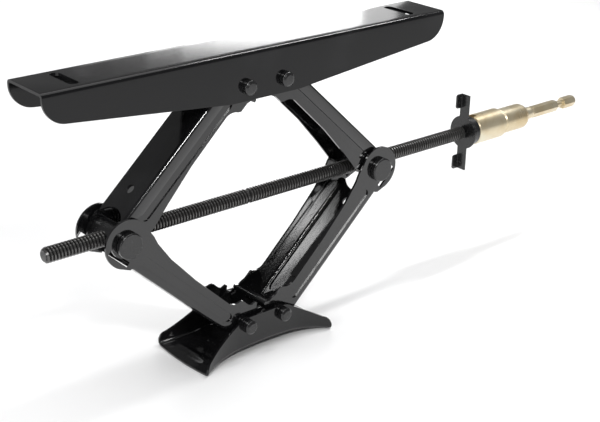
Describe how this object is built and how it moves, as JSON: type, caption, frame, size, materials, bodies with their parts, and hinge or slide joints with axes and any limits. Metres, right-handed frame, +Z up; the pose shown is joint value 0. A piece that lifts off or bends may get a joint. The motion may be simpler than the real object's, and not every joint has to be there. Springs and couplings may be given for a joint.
{
  "type": "scissor jack",
  "caption": "Screw-driven scissor stabiliser jack with geared folding arms, slotted top channel, flared foot and a drill adapter on the drive hex.",
  "frame": {"origin": "centre of the mounting channel's top face", "axes": "+Z up, +X along the lead screw towards the drive end, Y across the jack"},
  "size_m": [1.094, 0.1264, 0.4617],
  "materials": {
    "black_paint": "gloss",
    "dark_steel": "satin black oxide",
    "bright_steel": "satin",
    "gold_zinc": "yellow zinc"
  },
  "bodies": {
    "foot": {"foot": "black_paint", "bottom_pivot_pins": "dark_steel", "bottom_spacers": "dark_steel"},
    "lower_left": {"lower_left_arm": "black_paint"},
    "lower_right": {"lower_right_arm": "black_paint"},
    "nut_left": {"left_trunnion_nut": "dark_steel", "left_trunnion_pins": "dark_steel"},
    "nut_right": {"right_trunnion_nut": "dark_steel", "right_trunnion_pins": "dark_steel"},
    "upper_left": {"upper_left_arm": "black_paint"},
    "upper_right": {"upper_right_arm": "black_paint"},
    "channel": {"mounting_channel": "black_paint", "top_pivot_pins": "dark_steel", "top_spacers": "dark_steel"},
    "collar": {"drive_collar": "dark_steel"},
    "screw": {"lead_screw": "dark_steel", "drive_yoke": "black_paint", "drive_hex": "dark_steel", "drive_roll_pin": "bright_steel"},
    "adapter": {"drill_socket": "gold_zinc", "socket_shank": "gold_zinc"}
  },
  "joints": [
    {"name": "lift", "type": "hinge", "parent": "foot", "child": "lower_left", "pos_m": [-0.033, 0, -0.41318], "axis": [0, 1, 0], "range_deg": [-37.8, 30.2]},
    {"name": "lower_right_pivot", "type": "hinge", "parent": "foot", "child": "lower_right", "pos_m": [0.033, 0, -0.41318], "axis": [0, 1, 0], "range_deg": [-30.25, 37.85]},
    {"name": "left_nut_pivot", "type": "hinge", "parent": "lower_left", "child": "nut_left", "pos_m": [-0.22964, 0, -0.23109], "axis": [0, 1, 0], "range_deg": [-30.25, 37.85]},
    {"name": "right_nut_pivot", "type": "hinge", "parent": "lower_right", "child": "nut_right", "pos_m": [0.22964, 0, -0.23109], "axis": [0, 1, 0], "range_deg": [-37.85, 30.25]},
    {"name": "left_elbow", "type": "hinge", "parent": "lower_left", "child": "upper_left", "pos_m": [-0.22964, 0, -0.23109], "axis": [0, 1, 0], "range_deg": [-60.45, 75.65]},
    {"name": "right_elbow", "type": "hinge", "parent": "lower_right", "child": "upper_right", "pos_m": [0.22964, 0, -0.23109], "axis": [0, 1, 0], "range_deg": [-75.65, 60.45]},
    {"name": "channel_pivot", "type": "hinge", "parent": "upper_left", "child": "channel", "pos_m": [-0.033, 0, -0.049], "axis": [0, 1, 0], "range_deg": [-37.85, 30.25]},
    {"name": "screw_travel", "type": "slide", "parent": "nut_right", "child": "collar", "axis": [1, 0, 0], "range_m": [-0.1053, 0.0843]},
    {"name": "screw_spin", "type": "hinge", "parent": "collar", "child": "screw", "pos_m": [0.459, 0, -0.23109], "axis": [1, 0, 0], "range_deg": [-6035.3, 7552.9]},
    {"name": "adapter_pull", "type": "slide", "parent": "screw", "child": "adapter", "axis": [1, 0, 0], "range_m": [0, 0.06]}
  ],
  "couplings": [
    {"joint": "lower_right_pivot", "follows": "lift", "ratio": -1},
    {"joint": "left_nut_pivot", "follows": "lift", "ratio": -1},
    {"joint": "right_nut_pivot", "follows": "lift", "ratio": 1},
    {"joint": "left_elbow", "follows": "lift", "ratio": -2},
    {"joint": "right_elbow", "follows": "lift", "ratio": 2},
    {"joint": "channel_pivot", "follows": "lift", "ratio": 1},
    {"joint": "screw_travel", "follows": "lift", "m_per_rad": 0.1589},
    {"joint": "screw_spin", "follows": "lift", "ratio": -199.68}
  ]
}
